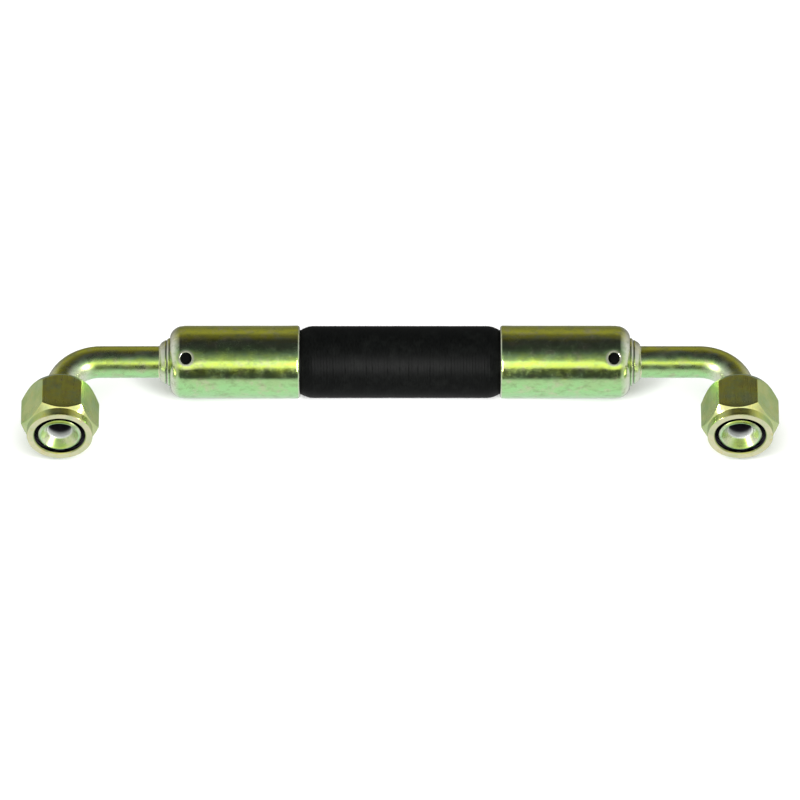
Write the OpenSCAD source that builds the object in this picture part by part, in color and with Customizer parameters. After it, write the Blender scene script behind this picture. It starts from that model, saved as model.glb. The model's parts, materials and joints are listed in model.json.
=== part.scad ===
// Hydraulic hose assembly: a short two-wire hose with a 90 degree swivel elbow
// on each end. An end is a barbed nipple gripped by a smooth swaged shell, a
// bent steel tube brazed into the nipple and flared at its free end, and a
// flare sleeve and hexagon nut that slide and turn on the tube's last leg.
// The assembly lies flat: the hose runs along X and both nuts face -Y.
// All sizes are millimetres.

/* [Hose] */
// Bore of the rubber liner
hose_bore = 12.7; // [10:0.1:15.3]
// Thickness of the rubber liner
liner_wall = 1.95; // [1.5:0.05:3]
// Thickness of one braid of steel wire
braid_wall = 0.65; // [0.4:0.05:1]
// Thickness of the rubber between the two braids
separator_wall = 0.3; // [0.2:0.05:0.6]
// Thickness of the rubber cover where the shells squeeze it
cover_wall = 2.9; // [2:0.1:4]
// How much thicker the cover is on the free hose between the shells
cover_swell = 1.7; // [0:0.1:1.8]
// Length over which the cover swells out of each shell's mouth
swell_length = 5; // [3:0.5:10]
// Length of hose that shows between the two shells
exposed_length = 80; // [50:1:400]

/* [Shell] */
// Length of each shell
shell_length = 52; // [42:1:80]
// Thickness of the shell round the hose
shell_wall = 1.8; // [1.2:0.1:3]
// Thickness of the wall that closes the shell's rear end
rear_wall = 2.4; // [1.8:0.1:3.2]
// Radius of the rounded shoulder at the rear end
shoulder_radius = 5; // [3:0.5:6]
// Height of the inner ridges that bite into the cover
ridge_height = 0.7; // [0.3:0.1:1.2]
// Number of inner ridges
ridge_count = 5; // [2:1:6]
// Diameter of the inspection hole drilled across the shell
inspection_bore = 4.6; // [3:0.1:5.6]
// Distance from the rear face to the inspection hole
inspection_setback = 6.6; // [5.2:0.1:8]
// Tilt of the inspection hole above the direction the nuts face
inspection_tilt = 54; // [0:1:90]

/* [Nipple] */
// Wall of the barbed stem inside the hose
stem_wall = 1.65; // [1.2:0.05:2.2]
// Height of the barbs on the stem
barb_height = 0.35; // [0.2:0.05:0.6]
// Number of barbs
barb_count = 6; // [2:1:7]
// Distance from the shell's mouth to the stem's tip
stem_setback = 3; // [1:0.5:6]
// Wall of the groove that the shell's rear wall sits in
groove_wall = 1.6; // [1.2:0.1:2.4]
// Wall of the bell collar where it meets the shell
collar_wall = 3.25; // [2.4:0.05:4]
// Length of the bell collar behind the shell
collar_length = 3.9; // [3:0.1:7]
// Depth of the socket that the tube is brazed into
socket_depth = 7; // [5:0.1:10]

/* [Elbow tube] */
// Outside diameter of the tube
tube_od = 12.7; // [10:0.1:15.3]
// Wall of the tube
tube_wall = 1.65; // [1:0.05:2]
// Centre-line radius of the 90 degree bend
bend_radius = 16; // [13:0.5:30]
// Distance from the shell's rear face to the nut's axis
tube_reach = 43.5; // [34:0.5:90]
// Half angle of the flare
flare_angle = 37; // [30:1:45]
// Wall of the flared end
flare_wall = 1.4; // [1:0.1:1.6]

/* [Swivel nut] */
// Length of the nut
nut_length = 22; // [18:0.5:30]
// Wall from the thread's crest to the hexagon's flats
nut_wall = 3.3; // [2.8:0.05:5]
// How far the thread's crest stands out from the tube
thread_step = 3.85; // [3:0.05:4.5]
// Depth and width of the 45 degree chamfer at the nut's mouth
entry_chamfer = 0.45; // [0.3:0.05:1]
// Length of the round nose in front of the hexagon
nose_length = 3.4; // [1.5:0.1:5]
// Turn of the hexagon about the nut's axis at rest
nut_turn = 4; // [0:1:30]
// Travel of the sleeve and nut along the tube until the sleeve meets the flare
sleeve_travel = 8.5; // [5:0.1:10.5]
// Length of the sleeve's head
head_length = 5; // [3:0.1:6]
// Wall of the sleeve's neck
neck_wall = 0.88; // [0.6:0.02:1.1]
// Straight tube left between the nut and the bend
bend_clearance = 2; // [1:0.5:20]

/* [Clearances] */
// Radial clearance between the hose and the metal it is squeezed between
hose_fit = 0.02; // [0.01:0.01:0.1]
// Gap between pieces that are brazed or swaged together
joint_fit = 0.05; // [0.01:0.01:0.1]
// Radial clearance of the sleeve on the tube
sleeve_fit = 0.07; // [0.03:0.01:0.1]
// Radial clearance of the nut on the sleeve's neck
nut_fit = 0.08; // [0.03:0.01:0.1]
// Gap at the nut's inner shoulder
shoulder_gap = 0.1; // [0.05:0.05:0.3]
// Gap left between sleeve and flare at the end of the travel
seat_gap = 0.03; // [0.01:0.01:0.1]
// How far the flare's rim clears the thread's crest
rim_clearance = 1.5; // [1.2:0.1:2.4]
// How far the sleeve's head stands out past the flare's rim
head_overhang = 0.15; // [0:0.05:0.6]

/* [Hidden] */

fine = 96; // steps round a full turn
eps = 0.5; // how far a cutter runs past the face that it cuts

// Colours
zinc = [0.72, 0.72, 0.36];
pale_zinc = [0.74, 0.78, 0.56];
braze = [0.80, 0.76, 0.56];
rubber_black = [0.06, 0.06, 0.06];
wire_grey = [0.50, 0.50, 0.48];

// Hose radii, from the bore outwards
bore_r = hose_bore / 2;
liner_r = bore_r + liner_wall;
inner_braid_r = liner_r + braid_wall;
separator_r = inner_braid_r + separator_wall;
outer_braid_r = separator_r + braid_wall;
cover_r = outer_braid_r + cover_wall;
mouth_lead = 0.3; // squeezed cover that shows before it starts to swell
swell_steps = 6;

// Stations along the hose axis, from the hose's middle outwards
mouth_x = exposed_length / 2;
shell_end_x = mouth_x + shell_length;
rear_wall_x = shell_end_x - rear_wall;
flange_width = 1.2;
flange_x = rear_wall_x - joint_fit - flange_width;
hose_end_x = flange_x - joint_fit;
stem_tip_x = mouth_x + stem_setback;
collar_x = shell_end_x + joint_fit;
collar_end_x = shell_end_x + collar_length;
socket_x = collar_end_x - socket_depth;
nut_axis_x = shell_end_x + tube_reach;

// Shell
shell_bore_r = cover_r + hose_fit;
shell_r = shell_bore_r + shell_wall;
mouth_chamfer = 0.4;
mouth_round = 1.1;

// Ridges in the shell: a flat crest on a wider foot
ridge_crest = 1.2;
ridge_foot = 2.6;
ridge_margin = 4;
ridge_pitch = (shell_length - rear_wall - ridge_margin - inspection_setback - inspection_bore)
              / ridge_count;

// Nipple
stem_r = bore_r - hose_fit;
stem_bore_r = stem_r - stem_wall;
stem_taper = 1.4;
barb_length = 3.2;
barb_back = 0.2;
barb_margin = 4;
barb_pitch = (flange_x - stem_tip_x - stem_taper - barb_margin) / barb_count;
tube_r = tube_od / 2;
tube_bore_r = tube_r - tube_wall;
socket_r = tube_r + joint_fit;
groove_r = tube_r + groove_wall;
flange_lap = 0.2; // how far the stop flange covers the end of the separator
flange_lock = 1.2; // how far the stop flange stands out behind the shell's rear wall
flange_r = max(inner_braid_r + flange_lap, groove_r + flange_lock);
collar_r = tube_r + collar_wall;
collar_nose_r = tube_r + 0.75;
bead_radius = 0.5; // bead at the shell end of the bell collar
bell_r = collar_r - 0.7;
bell_power = 1.3; // how the bell falls from its waist to its nose
bell_steps = 6;
braze_length = 0.7;

// Nut, sleeve and flare. Their stations run back along the nut's axis from the flare's lip.
leg_length = nut_length + bend_clearance;
drop = leg_length + bend_radius;
thread_r = tube_r + thread_step;
nut_flat_r = thread_r + nut_wall;
nut_corner_r = nut_flat_r / cos(30);
nose_r = nut_flat_r - 0.4;
nose_edge = 0.4;
rear_face_r = nut_flat_r - 0.7;
rear_chamfer = 4;
rim_r = thread_r - rim_clearance;
rim_back = flare_wall * sin(flare_angle);
lip_r = rim_r - flare_wall * cos(flare_angle);
sleeve_bore_r = tube_r + sleeve_fit;
head_r = rim_r + head_overhang;
head_edge = 0.45;
neck_r = sleeve_bore_r + neck_wall;
neck_recess = 0.5;
cone_start = rim_back + sleeve_travel + seat_gap;
head_front = cone_start + (rim_r - head_r + head_edge) / tan(flare_angle);
head_back = head_front + head_length;
neck_bore_r = neck_r + nut_fit;
nut_shoulder = head_back - (thread_r - head_r) + shoulder_gap;

// Where the hose axis lies, so that the assembly stands on Z = 0 centred on the origin
axis_z = max(shell_r, nut_corner_r * cos(30 - nut_turn));
axis_y = (drop - shell_r) / 2;

// A line is a list of [radius, station] points. This carries it on over the hose's other half.
function both_halves(line) =
    concat([for (i = [len(line) - 1:-1:0]) [line[i][0], -line[i][1]]], line);

function reversed(line) = [for (i = [len(line) - 1:-1:0]) line[i]];

// Ridges that dip from radius r by the ridge height, as the shell and the cover share them
function ridge_line(r) = [
    for (i = [0:ridge_count - 1])
        let (c = mouth_x + ridge_margin + (i + 0.5) * ridge_pitch)
        for (p = [[0, -ridge_foot], [ridge_height, -ridge_crest],
                  [ridge_height, ridge_crest], [0, ridge_foot]])
            [r - p[0], c + p[1] / 2]
];

// The cover's outside from the hose's middle to the shell's mouth: free hose, then a parabola
// that is steepest at the mouth
function swell_line(r) = [
    for (i = [swell_steps:-1:0])
        let (s = i / swell_steps)
        [r + cover_swell * (1 - pow(1 - s, 2)), mouth_x - mouth_lead - s * swell_length]
];

// Saw-tooth barbs that rise from radius r towards the fitting, shared by the nipple and the liner
function barb_line(r) = [
    for (i = [0:barb_count - 1])
        let (x = stem_tip_x + stem_taper + i * barb_pitch + (barb_pitch - barb_length) / 2)
        for (p = [[0, 0], [barb_height, barb_length], [0, barb_length + barb_back]])
            [r + p[0], x + p[1]]
];

// Half-round bead, then a bell that falls along a power curve to the collar's nose
function collar_line() =
    let (bell_x = collar_x + 2 * bead_radius,
         bell_length = collar_end_x - bell_x)
    concat(
        [for (a = [180:-30:30])
            [collar_r - bead_radius + bead_radius * sin(a),
             collar_x + bead_radius + bead_radius * cos(a)]],
        [for (i = [0:bell_steps])
            let (s = i / bell_steps)
            [collar_nose_r + (bell_r - collar_nose_r) * (1 - pow(s, bell_power)),
             bell_x + s * bell_length]]);

// Turns a closed outline of [radius, station] points round the hose axis
module turned(outline) {
    rotate([0, 90, 0])
        rotate_extrude($fn = fine)
            polygon(outline);
}

// Turns a closed outline round the nut's axis, stations running back from the flare's lip
module turned_on_leg(outline) {
    on_leg()
        rotate_extrude($fn = fine)
            polygon(outline);
}

module on_leg() {
    translate([nut_axis_x, -drop, 0])
        rotate([-90, 0, 0])
            children();
}

// One layer of the hose, between an inner and an outer line that start at the hose's middle
module hose_layer(inner, outer) {
    translate([0, axis_y, axis_z])
        turned(concat(both_halves(outer), reversed(both_halves(inner))));
}

module right_end() {
    translate([0, axis_y, axis_z])
        children();
}

module left_end() {
    mirror([1, 0, 0])
        right_end()
            children();
}

module hose_liner() {
    color(rubber_black)
        hose_layer(concat(barb_line(bore_r), [[bore_r, hose_end_x]]), [[liner_r, hose_end_x]]);
}

module hose_inner_braid() {
    color(wire_grey)
        hose_layer([[liner_r, hose_end_x]], [[inner_braid_r, hose_end_x]]);
}

module hose_separator() {
    color(rubber_black)
        hose_layer([[inner_braid_r, hose_end_x]], [[separator_r, hose_end_x]]);
}

module hose_outer_braid() {
    color(wire_grey)
        hose_layer([[separator_r, hose_end_x]], [[outer_braid_r, hose_end_x]]);
}

module hose_cover() {
    color(rubber_black)
        hose_layer([[outer_braid_r, hose_end_x]],
                   concat(swell_line(cover_r), ridge_line(cover_r), [[cover_r, hose_end_x]]));
}

// Barbed stem, stop flange, groove for the shell's rear wall and bell collar, in one piece
module nipple() {
    stem_line = concat([[stem_r - barb_height, stem_tip_x], [stem_r, stem_tip_x + stem_taper]],
                       barb_line(stem_r),
                       [[stem_r, flange_x]]);
    flange_line = [[flange_r, flange_x], [flange_r, flange_x + flange_width],
                   [groove_r, flange_x + flange_width], [groove_r, collar_x]];
    bore_line = [[socket_r, collar_end_x], [socket_r, socket_x],
                 [stem_bore_r, socket_x], [stem_bore_r, stem_tip_x]];
    color(zinc)
        turned(concat(stem_line, flange_line, collar_line(), bore_line));
}

// Smooth shell with a rounded rear shoulder, inner ridges and one hole drilled across it
module shell() {
    shoulder = [for (a = [0:7.5:90])
        [shell_r - shoulder_radius + shoulder_radius * cos(a),
         shell_end_x - shoulder_radius + shoulder_radius * sin(a)]];
    mouth = [for (a = [90:-22.5:0])
        [shell_r - mouth_round + mouth_round * cos(a),
         mouth_x + mouth_round - mouth_round * sin(a)]];
    inside = concat([[shell_bore_r + mouth_chamfer, mouth_x],
                     [shell_bore_r, mouth_x + mouth_chamfer]],
                    ridge_line(shell_bore_r),
                    [[shell_bore_r, rear_wall_x],
                     [groove_r + joint_fit, rear_wall_x],
                     [groove_r + joint_fit, shell_end_x]]);
    color(zinc)
        difference() {
            turned(concat(mouth, shoulder, reversed(inside)));
            for (side = [0, 180])
                translate([shell_end_x - inspection_setback, 0, 0])
                    rotate([90 - inspection_tilt + side, 0, 0])
                        translate([0, 0, (outer_braid_r + cover_r) / 2])
                            cylinder(d = inspection_bore, h = shell_r, $fn = fine);
        }
}

// Fillet of brazing metal between the collar's nose and the tube
module braze_ring() {
    rise = collar_nose_r - tube_r;
    fillet = [for (a = [0:22.5:90])
        [tube_r + rise * (1 - sin(a)), collar_end_x + braze_length * (1 - cos(a))]];
    color(braze)
        turned(concat([[tube_r, collar_end_x]], fillet));
}

// Bent tube: a straight length from the nipple's socket, a quarter of a torus, and a straight
// leg whose end is opened out to a flare
module elbow_tube() {
    start_x = socket_x + joint_fit;
    bend_x = nut_axis_x - bend_radius;
    flare_back = rim_back + (rim_r - tube_r) / tan(flare_angle);
    funnel_depth = (lip_r - tube_bore_r) / tan(flare_angle);
    color(zinc)
        union() {
            turned([[tube_bore_r, start_x], [tube_r, start_x],
                    [tube_r, bend_x], [tube_bore_r, bend_x]]);
            translate([bend_x, -bend_radius, 0])
                rotate_extrude(angle = 90, $fn = fine)
                    translate([bend_radius, 0])
                        difference() {
                            circle(r = tube_r, $fn = fine);
                            circle(r = tube_bore_r, $fn = fine);
                        }
            turned_on_leg([[lip_r, 0], [rim_r, rim_back], [tube_r, flare_back],
                           [tube_r, leg_length], [tube_bore_r, leg_length],
                           [tube_bore_r, funnel_depth]]);
        }
}

// Flare sleeve: its front cone meets the flare's back, its rear shoulder is pushed by the nut
module sleeve() {
    cone_back = cone_start + (rim_r - sleeve_bore_r) / tan(flare_angle);
    neck_end = nut_length - neck_recess;
    color(pale_zinc)
        turned_on_leg([[head_r - head_edge, head_front], [head_r, head_front + head_edge],
                       [head_r, head_back], [neck_r, head_back + head_r - neck_r],
                       [neck_r, neck_end], [sleeve_bore_r, neck_end],
                       [sleeve_bore_r, cone_back]]);
}

// Hexagon nut with a round nose, a chamfered rear, and an inner shoulder behind the thread
module nut() {
    outside = [[0, 0], [nose_r - nose_edge, 0], [nose_r, nose_edge], [nose_r, nose_length],
               [nut_corner_r, nose_length + nut_corner_r - nose_r],
               [nut_corner_r, nut_length - rear_chamfer], [rear_face_r, nut_length],
               [0, nut_length]];
    inside = [[0, -eps], [thread_r + entry_chamfer + eps, -eps],
              [thread_r, entry_chamfer], [thread_r, nut_shoulder],
              [neck_bore_r, nut_shoulder + thread_r - neck_bore_r],
              [neck_bore_r, nut_length + eps], [0, nut_length + eps]];
    color(pale_zinc)
        difference() {
            intersection() {
                on_leg()
                    rotate([0, 0, -nut_turn])
                        cylinder(r = nut_corner_r, h = nut_length, $fn = 6);
                turned_on_leg(outside);
            }
            turned_on_leg(inside);
        }
}

module left_nipple() { left_end() nipple(); }
module left_shell() { left_end() shell(); }
module left_braze_ring() { left_end() braze_ring(); }
module left_elbow_tube() { left_end() elbow_tube(); }
module left_sleeve() { left_end() sleeve(); }
module left_nut() { left_end() nut(); }

module right_nipple() { right_end() nipple(); }
module right_shell() { right_end() shell(); }
module right_braze_ring() { right_end() braze_ring(); }
module right_elbow_tube() { right_end() elbow_tube(); }
module right_sleeve() { right_end() sleeve(); }
module right_nut() { right_end() nut(); }

hose_liner();
hose_inner_braid();
hose_separator();
hose_outer_braid();
hose_cover();
left_nipple();
left_shell();
left_braze_ring();
left_elbow_tube();
left_sleeve();
left_nut();
right_nipple();
right_shell();
right_braze_ring();
right_elbow_tube();
right_sleeve();
right_nut();
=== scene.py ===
# %% [markdown]
# # A short hydraulic hose assembly
# This notebook dresses a finished engineering model. The model gives every size, place and joint. What is
# made here is the look: fine surfaces worked out with arrays, and materials built from nodes.
# The real object is a piece of two-wire rubber hose. Each end is gripped by a smooth steel shell, and a bent
# tube with a flare and a hexagon nut comes out of it. The metal is zinc plated and yellow passivated.

# %% Load the frame and read its places
import json
import math

import bmesh
import bpy
import numpy as np
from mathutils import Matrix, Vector


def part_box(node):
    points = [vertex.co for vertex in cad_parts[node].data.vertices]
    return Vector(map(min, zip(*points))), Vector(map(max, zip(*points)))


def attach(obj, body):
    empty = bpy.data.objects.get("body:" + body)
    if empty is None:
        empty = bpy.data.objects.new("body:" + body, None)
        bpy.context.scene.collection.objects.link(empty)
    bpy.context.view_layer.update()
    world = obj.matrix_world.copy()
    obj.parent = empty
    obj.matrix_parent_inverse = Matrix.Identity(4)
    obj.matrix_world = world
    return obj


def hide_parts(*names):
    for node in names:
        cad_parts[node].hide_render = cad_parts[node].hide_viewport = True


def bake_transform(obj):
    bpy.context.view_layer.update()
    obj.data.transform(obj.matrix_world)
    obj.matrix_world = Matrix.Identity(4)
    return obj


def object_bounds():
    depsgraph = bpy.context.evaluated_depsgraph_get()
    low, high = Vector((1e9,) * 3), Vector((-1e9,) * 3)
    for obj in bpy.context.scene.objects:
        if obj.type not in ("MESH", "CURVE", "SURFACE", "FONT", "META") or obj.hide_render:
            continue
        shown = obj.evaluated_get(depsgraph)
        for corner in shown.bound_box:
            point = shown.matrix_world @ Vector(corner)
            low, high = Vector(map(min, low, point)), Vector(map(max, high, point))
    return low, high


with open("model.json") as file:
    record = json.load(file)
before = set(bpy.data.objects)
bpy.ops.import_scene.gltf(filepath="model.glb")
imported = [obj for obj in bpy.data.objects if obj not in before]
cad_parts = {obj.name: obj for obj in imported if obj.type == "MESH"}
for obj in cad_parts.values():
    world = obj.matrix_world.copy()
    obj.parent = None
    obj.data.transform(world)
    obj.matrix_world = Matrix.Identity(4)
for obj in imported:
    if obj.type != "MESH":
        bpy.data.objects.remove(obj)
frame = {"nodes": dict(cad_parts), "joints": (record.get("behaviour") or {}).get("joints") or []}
mm = 0.001
cad_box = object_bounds()
joints = {joint["name"]: joint for joint in frame["joints"]}
hose_middle = np.array(joints["hose_flex"]["pos_m"])
nut_axis = {side: np.array(joints[side + "_nut_spin"]["pos_m"]) for side in ("left", "right")}
sign = {"left": -1.0, "right": 1.0}
print("hose axis", hose_middle, "nut axes", nut_axis)


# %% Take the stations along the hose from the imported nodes
def reach(node, axis, low=False):
    """How far a node on the right reaches along one axis, in metres."""
    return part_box(node)[0 if low else 1][axis]


mouth_x = reach("right_shell", 0, low=True)
shell_end_x = reach("right_shell", 0)
hose_end_x = reach("hose_cover", 0)
stem_tip_x = reach("right_nipple", 0, low=True)
collar_end_x = reach("right_nipple", 0)
braze_end_x = reach("right_braze_ring", 0)
socket_x = reach("right_elbow_tube", 0, low=True)
shell_r = reach("right_shell", 2) - hose_middle[2]
cover_free_r = reach("hose_cover", 2) - hose_middle[2]
outer_braid_r = reach("hose_outer_braid", 2) - hose_middle[2]
separator_r = reach("hose_separator", 2) - hose_middle[2]
inner_braid_r = reach("hose_inner_braid", 2) - hose_middle[2]
liner_r = reach("hose_liner", 2) - hose_middle[2]
collar_r = reach("right_nipple", 2) - hose_middle[2]
lip_y = reach("right_nut", 1, low=True)
nut_length = reach("right_nut", 1) - lip_y
print("shell from", mouth_x, "to", shell_end_x, "and", shell_r, "in radius")

# %% [markdown]
# ## One helper makes almost every piece
# A turned piece with a bore has a skin like a ring: it closes on itself along the outline and round the axis.
# So one helper that joins a grid of points in both directions can make the hose, shells, tube and nuts. It
# measures the volume inside the skin with a sign, which tells whether the faces point outwards.


# %% Join a grid of points into a closed skin
def grid_faces(rows, columns):
    """Four-cornered faces of a grid whose last row and column are followed by the first."""
    index = np.arange(rows * columns).reshape(rows, columns)
    beside = np.roll(index, -1, axis=1)
    return np.stack([index, beside, np.roll(beside, -1, axis=0), np.roll(index, -1, axis=0)], axis=-1)


def signed_volume(points, faces):
    """Volume inside closed four-cornered faces: the sum of their corners' box products over six."""
    a, b, c, d = (points[faces[:, i]] for i in range(4))
    return (np.einsum("ij,ij->", a, np.cross(b, c)) + np.einsum("ij,ij->", a, np.cross(c, d))) / 6


def put(name, data):
    """A new object in the scene, at the origin."""
    holder = bpy.data.objects.new(name, data)
    bpy.context.scene.collection.objects.link(holder)
    return holder


def shade_smooth(mesh, sharp):
    """Smooth faces, with sharp edges where they meet at more than an angle in degrees."""
    mesh.polygons.foreach_set("use_smooth", np.ones(len(mesh.polygons), bool))
    mesh.set_sharp_from_angle(angle=math.radians(sharp))


def make_piece(name, points, faces):
    """Makes a smooth mesh object that stays at the origin, turned so that its faces point outwards."""
    points = points.reshape(-1, 3)
    faces = faces.reshape(-1, 4)
    if signed_volume(points - points.mean(axis=0), faces) < 0:
        faces = faces[:, ::-1]
    mesh = bpy.data.meshes.new(name)
    mesh.from_pydata(points.tolist(), [], faces.tolist())
    shade_smooth(mesh, 35)
    mesh.update()
    print(name, len(points), "points", len(faces), "faces")
    return put(name, mesh)


# %% [markdown]
# ## Outlines with real edges
# No machined edge is perfectly sharp. A small round catches a line of light, and that line tells the eye that
# the part is metal. So an outline is a list of corners, each with its own radius, and a helper turns every
# corner into an arc. The helper takes a whole family of outlines at once, which the hexagon nut needs.


# %% Round the corners of outlines
def rounded(corners, radii, steps=5):
    """Replaces each corner by an arc that is tangent to both sides. Corners are (corner, column, 2).

    With half the angle between the sides called h, the arc's ends lie radius / tan(h) from the corner and its
    centre lies radius / sin(h) from it along the middle line. The arc's points are turned evenly.
    """
    before, after = np.roll(corners, 1, axis=0), np.roll(corners, -1, axis=0)
    rows = []
    for corner, a, b, radius in zip(corners, before, after, radii):
        if radius == 0:
            rows.append(corner[None])
            continue
        to_a, to_b = a - corner, b - corner
        room = 0.48 * np.minimum(np.linalg.norm(to_a, axis=-1), np.linalg.norm(to_b, axis=-1))
        to_a = to_a / np.linalg.norm(to_a, axis=-1, keepdims=True)
        to_b = to_b / np.linalg.norm(to_b, axis=-1, keepdims=True)
        half = 0.5 * np.arccos(np.clip((to_a * to_b).sum(axis=-1), -1, 0.9999))
        half = np.minimum(half, math.pi / 2 - 1e-4)
        size = np.minimum(radius, room * np.tan(half))
        middle = to_a + to_b
        middle = middle / np.maximum(np.linalg.norm(middle, axis=-1, keepdims=True), 1e-9)
        centre = corner + middle * (size / np.sin(half))[:, None]
        start = corner + to_a * (size / np.tan(half))[:, None] - centre
        end = corner + to_b * (size / np.tan(half))[:, None] - centre
        turn = math.pi - 2 * half
        share = np.linspace(0, 1, steps + 1)[:, None]
        weight_a = np.sin((1 - share) * turn) / np.sin(turn)
        weight_b = np.sin(share * turn) / np.sin(turn)
        rows.append(centre + weight_a[..., None] * start + weight_b[..., None] * end)
    return np.concatenate(rows)


def spaced(outline, longest):
    """Divides every side of a closed outline evenly so that no step along it is longer than longest."""
    rows = []
    for a, b in zip(outline, np.roll(outline, -1, axis=0)):
        length = np.linalg.norm(b - a, axis=-1).max()
        share = np.arange(max(1, math.ceil(length / longest)))[:, None, None]
        rows.append(a + (b - a) * share / len(share))
    return np.concatenate(rows)


def outline(corners, radius, longest, steps=5):
    """One outline from (station, radius) corners. A third number gives a corner a radius of its own."""
    points = np.array([corner[:2] for corner in corners], float)[:, None]
    radii = [corner[2] if len(corner) > 2 else radius for corner in corners]
    return spaced(rounded(points, radii, steps), longest)


# %% Turn outlines round the hose axis or a nut's axis
def angles(columns):
    """Angles evenly round a full turn."""
    return np.arange(columns) * 2 * math.pi / columns


def about_hose(stations, radii, turn, side="right"):
    """Points at stations out along the hose axis. Turn is measured from -Y towards +Z."""
    x = hose_middle[0] + sign[side] * stations
    y = hose_middle[1] - radii * np.cos(turn)
    z = hose_middle[2] + radii * np.sin(turn)
    return np.stack(np.broadcast_arrays(x, y, z), axis=-1)


def about_nut(stations, radii, turn, side):
    """Points at stations back from the flare's lip. Turn runs as a right hand's fingers do round +Y."""
    x = nut_axis[side][0] - radii * np.cos(turn)
    y = lip_y + stations
    z = nut_axis[side][2] + radii * np.sin(turn)
    return np.stack(np.broadcast_arrays(x, y, z), axis=-1)


def finish_piece(piece, nodes, material, bodies):
    """Gives a piece its material and slot, hides the nodes it stands for, and hangs it on its body when there
    is only one.
    """
    piece.data.materials.append(material)
    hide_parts(*nodes)
    if len(bodies) == 1:
        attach(piece, bodies[0])
    else:
        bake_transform(piece)


# %% [markdown]
# ## How a finish varies over a piece
# A plated part's yellow passivating film varies in tint, and here that tint is painted by which way the
# surface faces, as a painted reflection colour: olive and gold above, lime where the front lamp's highlight
# falls, and mint below where the floor is reflected. Each metal piece carries a number at every point, called
# facing, that says which way the surface faces.


# %% Read points, and write numbers such as the facing into a mesh
def point_places(piece):
    """Every point of a mesh."""
    places = np.empty(len(piece.data.vertices) * 3)
    piece.data.vertices.foreach_get("co", places)
    return places.reshape(-1, 3)


def store(piece, name, values):
    """Keeps one number for each point of a mesh under a name that a material can read."""
    attribute = piece.data.attributes.new(name, "FLOAT", "POINT")
    attribute.data.foreach_set("value", np.asarray(values, np.float32))


def store_facing(piece, pale=0):
    """Facing is the turn from straight down, through -Y and up, of each point's normal, as 0 to 1.

    End is how far the normal leans along the hose, as 0 to 1, and at least pale where that is given. The
    materials paint reflection colours by facing, and a painted pale reflection by end.
    """
    mesh = piece.data
    normals = np.empty(len(mesh.vertices) * 3)
    mesh.vertex_normals.foreach_get("vector", normals)
    normals = normals.reshape(-1, 3)
    turn = np.degrees(np.arctan2(normals[:, 2], -normals[:, 1]))
    store(piece, "film", ((turn + 90) % 360) / 360)
    store(piece, "end", np.maximum(np.abs(normals[:, 0]), pale))


# %% [markdown]
# ## Building materials from nodes
# A material is a small network: coordinates feed patterns, patterns feed colours, roughness and bump, and all
# of that feeds one shader. A few short helpers keep the networks readable. Patterns use Object coordinates,
# in metres, so a scale of 1000 means a grain of about a millimetre.


# %% Helpers for shader networks
def start_material(name):
    """A new material, its node tree and its shader."""
    material = bpy.data.materials.new(name)
    material.use_nodes = True
    return material, material.node_tree, material.node_tree.nodes["Principled BSDF"]


def fill(tree, node, sockets):
    """Fills a node's sockets with values or with links."""
    for key, value in sockets.items():
        if isinstance(value, bpy.types.NodeSocket):
            tree.links.new(value, node.inputs[key])
        else:
            node.inputs[key].default_value = value


def add(tree, kind, sockets=None, **settings):
    """Adds a node, sets its settings, and fills its sockets."""
    node = tree.nodes.new(kind)
    for key, value in settings.items():
        setattr(node, key, value)
    fill(tree, node, sockets or {})
    return node


def carried(tree, name):
    """The number that each point of the mesh carries under a name, or 0 where it carries none."""
    return add(tree, "ShaderNodeAttribute", attribute_name=name).outputs["Fac"]


def calculate(tree, operation, *values):
    """A Math node's result."""
    return add(tree, "ShaderNodeMath", dict(enumerate(values)), operation=operation).outputs[0]


def noise(tree, scale, detail=4.0, rough=0.55, stretch=(1, 1, 1)):
    """Noise on Object coordinates, from 0 to 1. Stretch multiplies the scale along each axis."""
    place = add(tree, "ShaderNodeTexCoord").outputs["Object"]
    place = add(tree, "ShaderNodeMapping", {"Vector": place, "Scale": stretch}).outputs[0]
    sockets = {"Vector": place, "Scale": scale, "Detail": detail, "Roughness": rough}
    return add(tree, "ShaderNodeTexNoise", sockets).outputs[0]


def between(tree, value, low, high, to_low=0.0, to_high=1.0):
    """Maps a range of values to another range, and holds it at the ends."""
    sockets = {0: value, 1: low, 2: high, 3: to_low, 4: to_high}
    return add(tree, "ShaderNodeMapRange", sockets).outputs[0]


def ramp(tree, value, stops):
    """Colours that follow a value. Each stop is (value, colour)."""
    node = add(tree, "ShaderNodeValToRGB", {0: value})
    elements = node.color_ramp.elements
    while len(elements) < len(stops):
        elements.new(0.5)
    for element, (position, colour) in zip(elements, stops):
        element.position = position
        element.color = (*colour, 1)
    return node.outputs[0]


def blend_colours(tree, share, first, second):
    """Two colours, mixed by a share of the second, which may be a plain colour."""
    if not isinstance(second, bpy.types.NodeSocket):
        second = (*second, 1)
    return add(tree, "ShaderNodeMix", {0: share, 6: first, 7: second}, data_type="RGBA").outputs[2]


def bump(tree, height, distance, normal=None):
    """Turns a height from 0 to 1 into a normal. Distance is the height's full size in metres."""
    sockets = {"Height": height, "Distance": distance, "Strength": 1.0}
    if normal is not None:
        sockets["Normal"] = normal
    return add(tree, "ShaderNodeBump", sockets).outputs[0]
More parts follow.
